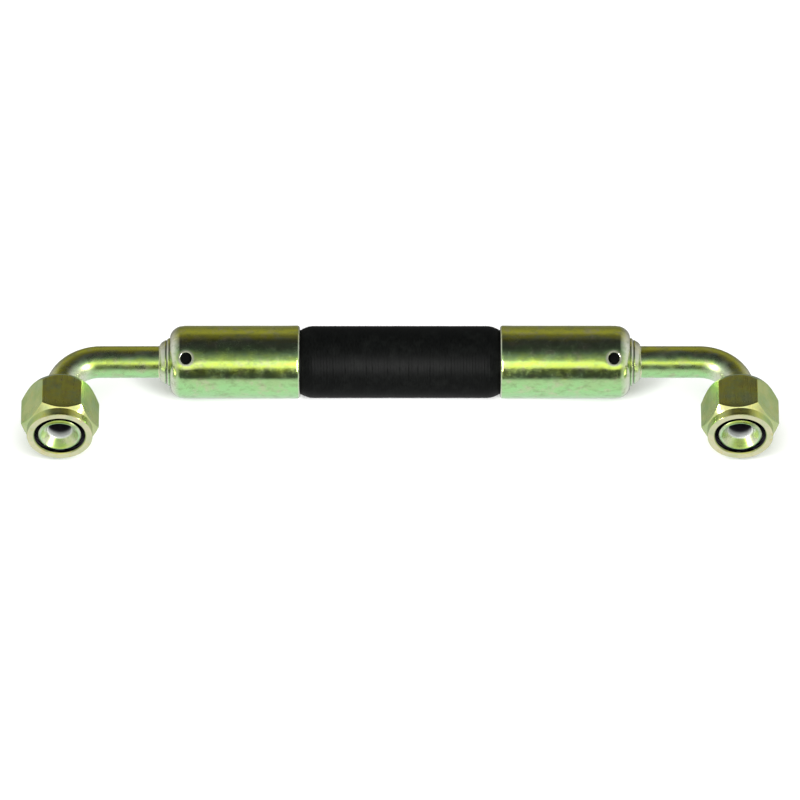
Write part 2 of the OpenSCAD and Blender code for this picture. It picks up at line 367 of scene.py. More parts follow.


# %% [markdown]
# ## Yellow passivated zinc
# Bright zinc would be silver. The passivating film over it is thinner than a light wave is long, so it tints
# every reflection. Here that tint is painted by the facing number, as a painted reflection colour: olive and
# gold above, lime where the front lamp's highlight falls, mint below where the floor is reflected, and pink
# patches by noise. Handling leaves fine scratches. The painted tint is pushed about by noise so that no band
# has a hard border.

# %% Painted reflection colours by facing, from underneath, round the front, and over the top
painted_reflection_colours = [
    (0.00, (0.48, 0.66, 0.42)),
    (0.12, (0.43, 0.72, 0.40)),
    (0.25, (0.41, 0.76, 0.33)),
    (0.31, (0.44, 0.66, 0.30)),
    (0.365, (0.63, 0.79, 0.13)),
    (0.395, (0.52, 0.74, 0.19)),
    (0.43, (0.40, 0.62, 0.30)),
    (0.47, (0.46, 0.54, 0.36)),
    (0.505, (0.62, 0.62, 0.10)),
    (0.55, (0.74, 0.76, 0.07)),
    (0.60, (0.66, 0.68, 0.07)),
    (0.75, (0.50, 0.68, 0.25)),
    (1.00, (0.48, 0.66, 0.42)),
]

# Faces that look along the hose, the hole's rim and the collar's nose get a painted pale reflection, narrow
# gaps get painted shade, and the bath hardly reaches into the tube's bore, which stays dull
painted_pale_reflection = (0.80, 0.78, 0.68)
# Painted shade for narrow gaps, the thread and the deep bore
painted_gap_shade = (0.030, 0.027, 0.036)
dull_in_bore = (0.84, 0.86, 0.84)
print(len(painted_reflection_colours), "colours round the film")


# %% The plated metal of shells, tubes and nipples
def plated_metal(name, roughness, grain):
    """Painted reflection colours by the facing number, with clouds, mottling, scratches, a slightly uneven
    plate, a painted pale reflection by end and painted shade in gaps.
    """
    material, tree, shader = start_material(name)
    film = carried(tree, "film")
    clouds = noise(tree, 110, detail=3)
    streaks = noise(tree, 700, detail=4, stretch=(0.25, 1, 1))
    shift = calculate(tree, "MULTIPLY", calculate(tree, "SUBTRACT", clouds, 0.5), 0.10)
    fine_shift = calculate(tree, "MULTIPLY", calculate(tree, "SUBTRACT", streaks, 0.5), 0.05)
    moved = calculate(tree, "ADD", film, calculate(tree, "ADD", shift, fine_shift))
    colour = ramp(tree, moved, painted_reflection_colours)
    rosy = between(tree, noise(tree, 230, detail=5), 0.54, 0.70, 0, 0.45)
    colour = blend_colours(tree, rosy, colour, (0.66, 0.58, 0.44))
    # Painted pale reflection: where the surface faces along the hose, or lies near the hole's rim or on the
    # collar's nose, the colour is blended towards pale champagne; thin is that share
    end = carried(tree, "end")
    thin = calculate(tree, "ADD", end, calculate(tree, "MULTIPLY", shift, 2.0))
    colour = blend_colours(tree, between(tree, thin, 0.25, 0.70, 0, 0.75), colour, painted_pale_reflection)
    specks = between(tree, noise(tree, 2600, detail=3), 0.60, 0.74, 0, 0.30)
    colour = blend_colours(tree, specks, colour, (0.20, 0.24, 0.12))
    mottle = noise(tree, 420, detail=5, rough=0.65, stretch=(0.6, 1, 1))
    colour = blend_colours(tree, between(tree, mottle, 0.50, 0.68, 0, 0.48), colour, (0.26, 0.34, 0.17))
    bore = carried(tree, "bore")
    colour = blend_colours(tree, bore, colour, dull_in_bore)
    # Painted shade: points in narrow gaps and deep in the bore are darkened
    colour = blend_colours(tree, carried(tree, "gap"), colour, painted_gap_shade)
    metallic = calculate(tree, "SUBTRACT", 1.0, calculate(tree, "MULTIPLY", bore, 0.7))
    scratches = noise(tree, 900, detail=6, rough=0.7, stretch=(0.35, 1.5, 1.0))
    lines = between(tree, calculate(tree, "ABSOLUTE", calculate(tree, "SUBTRACT", scratches, 0.5)), 0, 0.012)
    worn = between(tree, noise(tree, 260, detail=4), 0.35, 0.75, roughness - 0.05, roughness + 0.10)
    worn = calculate(tree, "ADD", worn, between(tree, lines, 0, 1, 0.10, 0))
    worn = calculate(tree, "ADD", worn, calculate(tree, "MULTIPLY", bore, 0.25))
    peel = bump(tree, noise(tree, 850, detail=3), grain * mm)
    normal = bump(tree, lines, 0.0015 * mm, peel)
    fill(tree, shader, {"Base Color": colour, "Metallic": metallic, "Roughness": worn, "Normal": normal})
    print("made", name)
    return material


shell_zinc = plated_metal("yellow_passivated_shell", 0.165, 0.012)
tube_zinc = plated_metal("yellow_passivated_tube", 0.29, 0.008)


# %% [markdown]
# ## The nut's finish
# The nut is cut from hexagon bar, so its flats keep a drawn grain along the bar, and its face and nose carry
# the fine rings of the lathe. The rings follow the distance from the nut's axis, which each point carries as
# a number called ring. Another, called turned, says where the lathe left the metal smoother. Its colours are
# painted by facing like the shell's, paler and more like champagne, with a painted darker green reflection on
# flats that face along the hose and painted shade in the thread.

# %% Make the nut's metal
lathe_feed = 0.22  # millimetres from one ring of the lathe to the next
# Painted reflection colours by facing, paler than the shell's
nut_colours = [
    (0.00, (0.52, 0.64, 0.40)),
    (0.20, (0.68, 0.70, 0.44)),
    (0.27, (0.74, 0.72, 0.47)),
    (0.36, (0.70, 0.70, 0.26)),
    (0.46, (0.66, 0.64, 0.17)),
    (0.50, (0.80, 0.79, 0.15)),
    (0.56, (0.62, 0.66, 0.30)),
    (0.62, (0.52, 0.66, 0.36)),
    (1.00, (0.52, 0.64, 0.40)),
]


def nut_metal(name, roughness):
    """Painted champagne reflection colours by facing, with lathe rings by distance from the axis and drawn
    grain along the bar.
    """
    material, tree, shader = start_material(name)
    film = carried(tree, "film")
    ring = carried(tree, "ring")
    clouds = noise(tree, 140, detail=4)
    moved = calculate(tree, "ADD", film, between(tree, clouds, 0.3, 0.7, -0.05, 0.05))
    colour = ramp(tree, moved, nut_colours)
    # Painted reflection: flats that face along the hose are tinted a darker green
    side_stops = [(0.38, (0.36, 0.52, 0.17)), (0.62, (0.56, 0.64, 0.26))]
    side_reflection_tint = ramp(tree, noise(tree, 120, detail=4), side_stops)
    colour = blend_colours(tree, between(tree, carried(tree, "end"), 0.35, 0.80, 0, 0.90), colour, side_reflection_tint)
    green = between(tree, noise(tree, 190, detail=4), 0.45, 0.68, 0, 0.50)
    colour = blend_colours(tree, green, colour, (0.46, 0.62, 0.34))
    gold = between(tree, noise(tree, 420, detail=5), 0.58, 0.72, 0, 0.55)
    colour = blend_colours(tree, gold, colour, (0.70, 0.60, 0.22))
    # Painted shade in the thread and on the sleeve inside the nut
    colour = blend_colours(tree, carried(tree, "gap"), colour, painted_gap_shade)
    drawn = noise(tree, 1600, detail=5, stretch=(1, 0.06, 1))
    worn = between(tree, drawn, 0.3, 0.7, roughness - 0.05, roughness + 0.08)
    smoother = calculate(tree, "MULTIPLY", carried(tree, "turned"), 0.13)
    worn = calculate(tree, "SUBTRACT", worn, smoother)
    rings = calculate(tree, "SINE", calculate(tree, "MULTIPLY", ring, 2 * math.pi / lathe_feed))
    rings = between(tree, rings, -1, 1)
    dents = between(tree, noise(tree, 420, detail=4), 0.58, 0.80)
    normal = bump(tree, drawn, 0.006 * mm)
    normal = bump(tree, rings, 0.0022 * mm, normal)
    normal = bump(tree, dents, -0.03 * mm, normal)
    fill(tree, shader, {"Base Color": colour, "Metallic": 1.0, "Roughness": worn, "Normal": normal})
    print("made", name)
    return material


nut_zinc = nut_metal("yellow_passivated_nut", 0.30)


# %% [markdown]
# ## Brazing metal, rubber and wire
# The brazed ring is a frozen liquid: smooth, lumpy and brighter than steel. The hose's cover is black rubber
# that was cured under a wound nylon tape, whose turns leave fine marks round it. The wires of the braid are
# brass coated so that the rubber sticks to them.


# %% Make the braze
def braze_metal():
    """Pale brass colour with soft lumps and a few dull spots."""
    material, tree, shader = start_material("brazed_fillet")
    colour = ramp(tree, noise(tree, 900, detail=4), [(0.3, (0.80, 0.78, 0.55)), (0.7, (0.70, 0.74, 0.50))])
    worn = between(tree, noise(tree, 1500), 0.3, 0.7, 0.16, 0.32)
    lumps = bump(tree, noise(tree, 1300, detail=2), 0.05 * mm)
    fill(tree, shader, {"Base Color": colour, "Metallic": 1.0, "Roughness": worn, "Normal": lumps})
    return material


# %% Make the rubbers
def cover_rubber():
    """Black rubber with cloth marks of the curing tape, scuffs and a little dust."""
    material, tree, shader = start_material("wrapped_cover_rubber")
    marks = noise(tree, 1400, detail=3, stretch=(3.0, 0.35, 0.35))
    scuffs = between(tree, noise(tree, 160, detail=6, rough=0.65), 0.50, 0.75)
    colour = ramp(tree, marks, [(0.3, (0.0008, 0.0009, 0.0008)), (0.7, (0.0026, 0.0030, 0.0028))])
    dust = calculate(tree, "MULTIPLY", scuffs, 0.35)
    colour = blend_colours(tree, dust, colour, (0.008, 0.009, 0.008))
    worn = between(tree, marks, 0.25, 0.75, 0.42, 0.60)
    cloth = bump(tree, marks, 0.035 * mm)
    fill(tree, shader, {"Base Color": colour, "Roughness": worn, "Specular IOR Level": 0.05, "Normal": cloth})
    return material


def liner_rubber():
    """Smoother black rubber of the liner and of the layer between the braids."""
    material, tree, shader = start_material("liner_rubber_black")
    bloom = noise(tree, 350, detail=5)
    colour = ramp(tree, bloom, [(0.3, (0.010, 0.010, 0.011)), (0.75, (0.026, 0.027, 0.029))])
    worn = between(tree, bloom, 0.3, 0.7, 0.45, 0.65)
    grain = bump(tree, noise(tree, 2200), 0.02 * mm)
    fill(tree, shader, {"Base Color": colour, "Roughness": worn, "Normal": grain})
    return material


# %% Make the wire
def braid_wire():
    """Brass coated steel wire, drawn bright, with darker spots where the coat is thin."""
    material, tree, shader = start_material("brass_coated_wire")
    wear = noise(tree, 1800, detail=5)
    colour = ramp(tree, wear, [(0.35, (0.62, 0.47, 0.22)), (0.70, (0.48, 0.45, 0.38))])
    worn = between(tree, wear, 0.3, 0.7, 0.26, 0.44)
    drawn = bump(tree, noise(tree, 5000), 0.006 * mm)
    fill(tree, shader, {"Base Color": colour, "Metallic": 1.0, "Roughness": worn, "Normal": drawn})
    return material


braze_gold = braze_metal()
rubber_black = cover_rubber()
rubber_inner = liner_rubber()
wire_brass = braid_wire()
print("seven finishes for", len(frame["nodes"]), "nodes")

# %% [markdown]
# ## The hose in five layers
# Liner, wire braid, thin rubber, wire braid and cover lie round one axis. All five run from end to end and
# hang on neither half alone, so they stay where they are made. Rows of points every few millimetres let them
# bend.
# A cube or a cylinder stretched to size could not bend, and it would have no marks, ridges or weave.

# %% Sizes that the shell, nipple and hose share
ridge_count = 5
ridge_height = 0.7 * mm
ridge_margin = 4 * mm
hole_setback = 6.6 * mm
hole_r = 2.3 * mm
rear_wall = 2.4 * mm
shell_wall = 1.8 * mm
hose_fit = 0.02 * mm
joint_fit = 0.05 * mm
ridge_room = shell_end_x - mouth_x - rear_wall - ridge_margin - hole_setback - 2 * hole_r
ridge_pitch = ridge_room / ridge_count
shell_bore_r = shell_r - shell_wall
squeezed_r = shell_bore_r - hose_fit
mouth_lead = 0.3 * mm
swell_start_x = mouth_x - mouth_lead
swell_length = 5 * mm


def ridge_dip(x):
    """How far the shell's inner ridges dip: a flat crest 1.2 mm wide on flanks 0.7 mm wide."""
    phase = (x - mouth_x - ridge_margin) / ridge_pitch
    inside = (phase > 0) & (phase < ridge_count)
    offset = np.abs(phase % 1 - 0.5) * ridge_pitch
    foot = 1.3 * mm
    flank = 0.7 * mm
    return np.where(inside, ridge_height * np.clip((foot - offset) / flank, 0, 1), 0)


def along_hose(step):
    """Stations from the hose's left end to its right end."""
    return np.arange(-hose_end_x, hose_end_x + 0.1 * mm, step)


# %% The cover: free hose that swells out of the shells
wrap_pitch = 1.2 * mm
wrap_height = 0.08 * mm
cover_columns = 112


def cover_radius(x, turn):
    """Free radius, less a parabola near each mouth, less the ridges, with the tape's marks round it."""
    away = np.abs(x)
    share = np.clip((swell_start_x - away) / swell_length, 0, 1)
    radius = squeezed_r + (cover_free_r - squeezed_r) * (1 - (1 - share) ** 2)
    radius = radius - ridge_dip(away)
    helix = 2 * math.pi * x / wrap_pitch + turn
    mark = np.maximum(0, np.cos(helix)) ** 3
    uneven = 0.6 + 0.4 * np.sin(0.41 * helix + 2 * np.sin(0.13 * helix + turn))
    return radius - wrap_height * (1 - mark * uneven) * np.clip(share * 3, 0, 1)


fine_x = np.arange(-swell_start_x, swell_start_x, wrap_pitch / 7)
gripped_x = np.arange(swell_start_x, hose_end_x - 0.2 * mm, 0.35 * mm)
outer_x = np.concatenate([[-hose_end_x], -gripped_x[::-1], fine_x, gripped_x, [hose_end_x]])
inner_x = along_hose(4 * mm)[::-1]
turn = angles(cover_columns)
outside = about_hose(outer_x[:, None], cover_radius(outer_x[:, None], turn), turn)
inside = about_hose(inner_x[:, None], outer_braid_r, turn)
skin = np.concatenate([outside, inside])
cover = make_piece("hose_rubber_cover", skin, grid_faces(*skin.shape[:2]))
finish_piece(cover, ["hose_cover"], rubber_black, ["left_half", "right_half"])


# %% Plain layers: the liner, and the rubber between the braids
def hose_tube(name, inner_radius, outer_radius, columns=96):
    """A tube of rubber with rows every 2 mm so that it can bend."""
    ends = [(-hose_end_x, inner_radius), (-hose_end_x, outer_radius), (hose_end_x, outer_radius),
            (hose_end_x, inner_radius)]
    line = outline(ends, 0.05 * mm, 2 * mm, steps=2)
    skin = about_hose(line[..., 0], line[..., 1], angles(columns))
    return make_piece(name, skin, grid_faces(*skin.shape[:2]))


stem_r = 6.33 * mm
stem_wall = 1.65 * mm
stem_taper = 1.4 * mm
barb_height = 0.35 * mm
barb_length = 3.2 * mm
barb_back = 0.2 * mm
barb_margin = 4 * mm
barb_count = 6
flange_x = hose_end_x + joint_fit
barb_start_x = stem_tip_x + stem_taper
barb_pitch = (flange_x - barb_start_x - barb_margin) / barb_count


def barb_rise(x):
    """Saw-tooth barbs that rise over 3.2 mm towards the fitting and drop in 0.2 mm."""
    phase = (x - barb_start_x) % barb_pitch - (barb_pitch - barb_length) / 2
    inside = (x > barb_start_x) & (x < barb_start_x + barb_count * barb_pitch)
    rising = np.where((phase > 0) & (phase < barb_length), phase / barb_length, 0)
    past = phase - barb_length
    falling = np.where((past >= 0) & (past < barb_back), 1 - past / barb_back, 0)
    return np.where(inside, barb_height * (rising + falling), 0)


bore_r = stem_r + hose_fit
bore_x = along_hose(0.4 * mm)
liner_outer_x = along_hose(3 * mm)[::-1]
turn = angles(96)
bore = about_hose(bore_x[:, None], bore_r + barb_rise(np.abs(bore_x))[:, None], turn)
skin = np.concatenate([bore, about_hose(liner_outer_x[:, None], liner_r, turn)])
liner = make_piece("hose_rubber_liner", skin, grid_faces(*skin.shape[:2]))
separator = hose_tube("hose_rubber_separator", inner_braid_r, separator_r)
finish_piece(liner, ["hose_liner"], rubber_inner, ["left_half", "right_half"])
finish_piece(separator, ["hose_separator"], rubber_inner, ["left_half", "right_half"])


# %% The two braids, woven as a height field
neutral_angle = math.radians(54.7)
weave_depth = 0.28 * mm


def braid(name, inner_radius, outer_radius, strands=24, columns=216):
    """A tube whose outside is woven: two families of strands cross at the braid's neutral angle.

    Each family has its own phase, a turn times the strands plus or minus x over the lead. Where the product
    of the two phases' sines is positive one family lies on top, and elsewhere the other one does.
    """
    lead = 2 * math.pi * outer_radius / math.tan(neutral_angle)
    x = along_hose(0.45 * mm)
    turn = angles(columns)
    along = 2 * math.pi * x[:, None] / lead
    first = np.cos(strands * (turn + along) / 2) ** 2
    second = np.cos(strands * (turn - along) / 2) ** 2
    over = 0.5 + 0.5 * np.sin(strands * (turn + along) / 4) * np.sin(strands * (turn - along) / 4)
    height = np.sqrt(over * first + (1 - over) * second)
    outside = about_hose(x[:, None], outer_radius - weave_depth * (1 - height), turn)
    back_x = along_hose(6 * mm)[::-1]
    skin = np.concatenate([outside, about_hose(back_x[:, None], inner_radius, turn)])
    return make_piece(name, skin, grid_faces(*skin.shape[:2]))


for name, node, low, high in (
    ("hose_wire_braid_inner", "hose_inner_braid", liner_r, inner_braid_r),
    ("hose_wire_braid_outer", "hose_outer_braid", separator_r, outer_braid_r),
):
    woven = braid(name, low, high)
    finish_piece(woven, [node], wire_brass, ["left_half", "right_half"])

# %% [markdown]
# ## The crimped shells
# A shell starts as a thick turned cup. A press squeezes it over its whole length, which leaves it smooth,
# with a soft shoulder at the rear, a faint line where the dies ended, and a mouth that stands out a hair. One
# hole is drilled right across it near the rear, so that a worker can see whether the hose is fully home. The
# squeezing draws the hole's edge in, and the dimple round it catches the light. Stock tools leave dents in
# the shading round a hole in a smooth curved wall, so the wall is laid out in a grid with two square windows,
# and each window is filled with rings that change from the square to the round hole.

# %% The shell's outside and inside as functions of the distance from its rear face
shoulder_length = 6 * mm
shoulder_drop = 5 * mm
press_line = 5.0 * mm
mouth_round = 1.1 * mm
mouth_chamfer = 0.4 * mm
groove_r = 7.95 * mm


def shell_outside(back):
    """An elliptic shoulder, a faint valley where the dies ended, and a mouth that stands out a hair."""
    share = np.clip(1 - back / shoulder_length, 0, 1)
    shoulder = shoulder_drop * (1 - np.sqrt(np.clip(1 - share ** 2, 0, 1)))
    valley = 0.11 * mm * np.exp(-((back - press_line) / (0.5 * mm)) ** 2)
    to_mouth = shell_end_x - mouth_x - back
    waist = 0.07 * mm * np.clip((to_mouth - 1 * mm) / (4 * mm), 0, 1) ** 2
    return shell_r - shoulder - valley - waist


def shell_inside(back):
    """The bore with its ridges, which lie near the mouth."""
    return shell_bore_r - ridge_dip(shell_end_x - back)


# %% Lay the shell's outline out in rows, with a window for the hole
window = 3.75 * mm
cells = 16
inner_rows = 110
shell_columns = 192
hole_turn = math.radians(54)
window_rows = hole_setback + np.linspace(-window, window, cells + 1)


def shell_rows():
    """Distances from the rear face and radii, round the outline. Also where the two windows start."""
    shoulder_turn = np.linspace(0.5 * math.pi, 0, 24)
    shoulder_back = shoulder_length * (1 - np.sin(shoulder_turn))
    first = shoulder_back[shoulder_back < window_rows[0] - 0.1 * mm]
    total = shell_end_x - mouth_x
    body = np.linspace(window_rows[-1], total - mouth_round, 60)[1:]
    mouth_turn = np.linspace(0, 0.5 * math.pi, 7)[1:]
    mouth_back = total - mouth_round + mouth_round * np.sin(mouth_turn)
    mouth_drop = mouth_round * (1 - np.cos(mouth_turn))
    back = np.concatenate([first, window_rows, body, mouth_back])
    radii = shell_outside(back)
    radii[-len(mouth_turn):] = shell_r - mouth_drop
    inner_back = np.linspace(total - mouth_chamfer, window_rows[-1], inner_rows)
    rear = np.array([rear_wall, rear_wall, 0])
    rear_r = np.array([shell_bore_r, groove_r + joint_fit, groove_r + joint_fit])
    inner = np.concatenate([[total], inner_back, window_rows[::-1][1:]])
    inner_r = np.concatenate([[shell_bore_r + mouth_chamfer], shell_inside(inner[1:])])
    stations = np.concatenate([back, inner, rear])
    radii = np.concatenate([radii, inner_r, rear_r])
    outer_start = len(first)
    inner_start = len(back) + inner_rows
    return stations, radii, outer_start, inner_start


# %% Fill the windows: from the square to the round hole, through the wall, and out to a square again
edge_round = 0.3 * mm
dimple_r = 2.8 * mm
dimple_depth = 0.6 * mm
column_step = 2 * math.pi / shell_columns


def dimple(along, across):
    """How far the outside is drawn in towards the hole's axis: a bell curve of the distance from it."""
    return dimple_depth * np.exp(-(along ** 2 + across ** 2) / dimple_r ** 2)


def window_edge():
    """Rows and columns, as numbers from 0 to cells, in order round the square window."""
    up = np.arange(cells)
    down = cells - up
    row = np.concatenate([up, np.full(cells, cells), down, np.zeros(cells, int)])
    column = np.concatenate([np.full(cells, cells), down, np.zeros(cells, int), up])
    return row, column


def window_rings(middle_turn):
    """Rings of points with (along, across, height) worked out from the hole's own axis.

    A point on the wall at a distance across from that axis stands sqrt(radius squared - across squared) high.
    The dimple lowers the outside along the hole's axis.
    """
    row, column = window_edge()
    back = window_rows[row]
    off = (column - cells / 2) * column_step
    towards = np.arctan2(shell_r * np.sin(off), back - hole_setback)
    rings = []

    def ring(share, hole, wall):
        """A ring a share of the way from the round hole to the square, at the height of a wall."""
        start = hole * np.cos(towards), hole * np.sin(towards)
        along = start[0] + (back - hole_setback - start[0]) * share
        across = start[1] + (wall(back) * np.sin(off) - start[1]) * share
        return along, across, np.sqrt(wall(hole_setback + along) ** 2 - across ** 2)

    for share in np.linspace(1, 0, 11) ** 1.2:
        along, across, height = ring(share, hole_r + edge_round, shell_outside)
        rings.append((along, across, height - dimple(along, across)))
    edge_height = rings[-1][2]
    for turn in np.linspace(0, 0.5 * math.pi, 6)[1:]:
        along, across, _ = ring(0, hole_r + edge_round * (1 - math.sin(turn)), shell_outside)
        rings.append((along, across, edge_height - edge_round * (1 - math.cos(turn))))
    low = ring(0, hole_r, shell_inside)
    high = rings[-1][2]
    for share in (0.35, 0.7):
        rings.append((low[0], low[1], high + (low[2] - high) * share))
    for share in np.linspace(0, 1, 7):
        rings.append(ring(share, hole_r, shell_inside))
    along, across, height = (np.array([ring[i] for ring in rings]) for i in range(3))
    y = -height * math.cos(middle_turn) + across * math.sin(middle_turn)
    z = height * math.sin(middle_turn) + across * math.cos(middle_turn)
    return shell_end_x - hole_setback - along, y, z


def close_up(points, faces, name):
    """Merges the doubled points along the windows and makes one closed skin that faces outwards."""
    used, index = np.unique(faces, return_inverse=True)
    points, faces = points[used], index.reshape(faces.shape)
    mesh = bpy.data.meshes.new(name)
    mesh.from_pydata(points.tolist(), [], faces.tolist())
    skin = bmesh.new()
    skin.from_mesh(mesh)
    bmesh.ops.remove_doubles(skin, verts=skin.verts, dist=0.002 * mm)
    bmesh.ops.recalc_face_normals(skin, faces=skin.faces)
    open_edges = sum(1 for edge in skin.edges if len(edge.link_faces) != 2)
    skin.to_mesh(mesh)
    skin.free()
    shade_smooth(mesh, 40)
    print(name, len(mesh.vertices), "points,", open_edges, "open edges")
    return put(name, mesh)


# %% Build both shells
def crimped_shell(side):
    """The turned skin without its windows, and the rings that fill them."""
    stations, radii, outer_start, inner_start = shell_rows()
    turn = hole_turn + np.arange(shell_columns) * column_step
    skin = about_hose(shell_end_x - stations[:, None], radii[:, None], turn, side)
    outer = slice(0, inner_start - inner_rows)
    for middle in (hole_turn, hole_turn + math.pi):
        across = radii[outer, None] * np.sin(turn - middle)
        depth = dimple(stations[outer, None] - hole_setback, across) * (np.cos(turn - middle) > 0)
        skin[outer] -= depth[..., None] * np.array([0, -math.cos(middle), math.sin(middle)])
    faces = grid_faces(*skin.shape[:2])
    keep = np.ones(faces.shape[:2], bool)
    for middle in (0, shell_columns // 2):
        columns = (middle + np.arange(-cells // 2, cells // 2)) % shell_columns
        for start in (outer_start, inner_start):
            keep[start:start + cells, columns] = False
    points = [skin.reshape(-1, 3)]
    quads = [faces[keep]]
    for extra_turn in (0, math.pi):
        x, y, z = window_rings(hole_turn + extra_turn)
        patch = np.stack([sign[side] * x, y + hose_middle[1], z + hose_middle[2]], axis=-1)
        quads.append(grid_faces(*patch.shape[:2])[:-1].reshape(-1, 4) + sum(map(len, points)))
        points.append(patch.reshape(-1, 3))
    return close_up(np.concatenate(points), np.concatenate(quads), side + "_crimped_shell")


def near_hole(shell):
    """A bell curve of the distance from the hole's rim, 1 on the rim, and 0 on the shell's inside."""
    places = point_places(shell) - hose_middle
    along = np.abs(places[:, 0]) - (shell_end_x - hole_setback)
    across = places[:, 1] * math.sin(hole_turn) + places[:, 2] * math.cos(hole_turn)
    away = np.hypot(along, across) - hole_r
    mid_wall_r = squeezed_r + 0.8 * mm
    outside = np.hypot(places[:, 1], places[:, 2]) > mid_wall_r
    fade = 1.1 * mm
    return outside * np.exp(-(np.maximum(away, 0) / fade) ** 2)


for side in ("left", "right"):
    shell = crimped_shell(side)
    # Painted highlight: the hole's rim is blended to the pale reflection colour
    store_facing(shell, pale=near_hole(shell))
    finish_piece(shell, [side + "_shell"], shell_zinc, [side + "_half"])

# %% [markdown]
# ## Nipple and braze
# The nipple is one turned piece. Its barbed stem holds the hose from inside, a flange and a groove lock the
# shell's rear wall, and a bell-shaped collar behind the shell takes the tube in a socket. Only the collar
# shows. The braze runs round the tube in front of the collar, and its edge wanders a little.

# %% Sizes of the nipple and its collar
tube_r = 6.35 * mm
socket_bore_r = tube_r + joint_fit
stem_bore_r = stem_r - stem_wall
flange_r = 9.15 * mm
flange_width = 1.2 * mm
collar_x = shell_end_x + joint_fit
collar_nose_r = tube_r + 0.75 * mm
# Length of the collar's nose that gets a painted pale highlight
nose_highlight_length = 2.0 * mm

# The bead and the waist behind it: distance from the shell, drop below the collar's radius, and edge
waist_back = 1.35 * mm
collar_shape = [
    (0, 0, 0.2 * mm),
    (0.5 * mm, 0.05 * mm, 0.3 * mm),
    (1.15 * mm, 0.72 * mm, 0.1 * mm),
    (waist_back, 0.98 * mm, 0.1 * mm),
    (1.65 * mm, 0.80 * mm, 0.3 * mm),
]


def nipple_outline():
    """Tip, barbs, flange, groove, bead, waist, bell, socket and bore."""
    corners = [(stem_tip_x, stem_r - barb_height), (barb_start_x, stem_r)]
    for barb in range(barb_count):
        x = barb_start_x + (barb + 0.5) * barb_pitch - barb_length / 2
        corners += [(x, stem_r), (x + barb_length, stem_r + barb_height, 0.06 * mm)]
        corners += [(x + barb_length + barb_back, stem_r)]
    corners += [(flange_x, stem_r), (flange_x, flange_r), (flange_x + flange_width, flange_r)]
    corners += [(flange_x + flange_width, groove_r), (collar_x, groove_r)]
    corners += [(collar_x + back, collar_r - drop, edge) for back, drop, edge in collar_shape]
    corners += [(collar_end_x - 0.6 * mm, collar_nose_r + 0.75 * mm, 0.9 * mm)]
    corners += [(collar_end_x, collar_nose_r, 0.3 * mm), (collar_end_x, socket_bore_r, 0.1 * mm)]
    corners += [(socket_x - joint_fit, socket_bore_r), (socket_x - joint_fit, stem_bore_r)]
    corners += [(stem_tip_x, stem_bore_r)]
    return outline(corners, 0.12 * mm, 1.2 * mm, steps=4)


def turned_piece(name, line, place, side, columns):
    """A piece turned from an outline, placed by about_hose or about_nut."""
    skin = place(line[..., 0], line[..., 1], angles(columns), side)
    return make_piece(name, skin, grid_faces(*skin.shape[:2]))


for side in ("left", "right"):
    nipple = turned_piece(side + "_barbed_nipple", nipple_outline(), about_hose, side, 120)
    away = np.abs(point_places(nipple)[:, 0])
    # Painted highlight: the collar's nose is blended to the pale reflection colour
    store_facing(nipple, pale=np.clip((away - collar_end_x + nose_highlight_length) / (0.3 * mm), 0, 1))
    # Painted shade: a dark line in the waist behind the bead
    from_waist = away - collar_x - waist_back
    store(nipple, "gap", 0.85 * np.exp(-(from_waist / (0.22 * mm)) ** 2))
    finish_piece(nipple, [side + "_nipple"], tube_zinc, [side + "_half"])


# %% The braze's wandering edge
def braze_fillet(side):
    """A hollow quarter-round between collar and tube, whose length and fullness wander round the tube."""
    rise = collar_nose_r - tube_r - 0.02 * mm
    length = braze_end_x - collar_end_x
    turn = angles(144)
    wander = 0.12 * np.sin(3 * turn + 1) + 0.07 * np.sin(7 * turn + sign[side]) + 0.04 * np.sin(16 * turn)
    share = np.linspace(0, 0.5 * math.pi, 10)[:, None]
    station = collar_end_x + length * (0.80 + wander) * (1 - np.cos(share))
    radius = tube_r + rise * (1 - np.sin(share)) * (0.97 + 0.1 * wander)
    inner = np.linspace(1, 0, 4)[:, None] * (station[-1] - collar_end_x) + collar_end_x
    stations = np.concatenate([station, inner[1:]])
    radii = np.concatenate([radius, np.full((3, 144), tube_r + 0.01 * mm)])
    skin = about_hose(stations, radii, turn, side)
    return make_piece(side + "_braze_fillet", skin, grid_faces(*skin.shape[:2]))


for side in ("left", "right"):
    fillet = braze_fillet(side)
    finish_piece(fillet, [side + "_braze_ring"], braze_gold, [side + "_half"])

# %% [markdown]
# ## The bent tube
# A tube bender turns a straight tube round a former, and a cone then opens its end into a flare. So the shape
# is one outline of a straight tube, wall and bore together, laid along a centre line that runs straight,
# turns a quarter circle and runs straight again. The bend leaves the tube slightly oval.

# %% Carry an outline along the centre line
bend_radius = 16 * mm
ovality = 0.015
tube_wall = 1.65 * mm
tube_bore_r = tube_r - tube_wall
rim_r = reach("right_elbow_tube", 0) - nut_axis["right"][0]
flare_wall = 1.4 * mm
flare_angle = math.radians(37)
flare_slope = math.tan(flare_angle)
nut_x = nut_axis["right"][0]
first_leg = nut_x - bend_radius - socket_x
bend_length = 0.5 * math.pi * bend_radius
last_leg = hose_middle[1] - bend_radius - lip_y
tube_length = first_leg + bend_length + last_leg


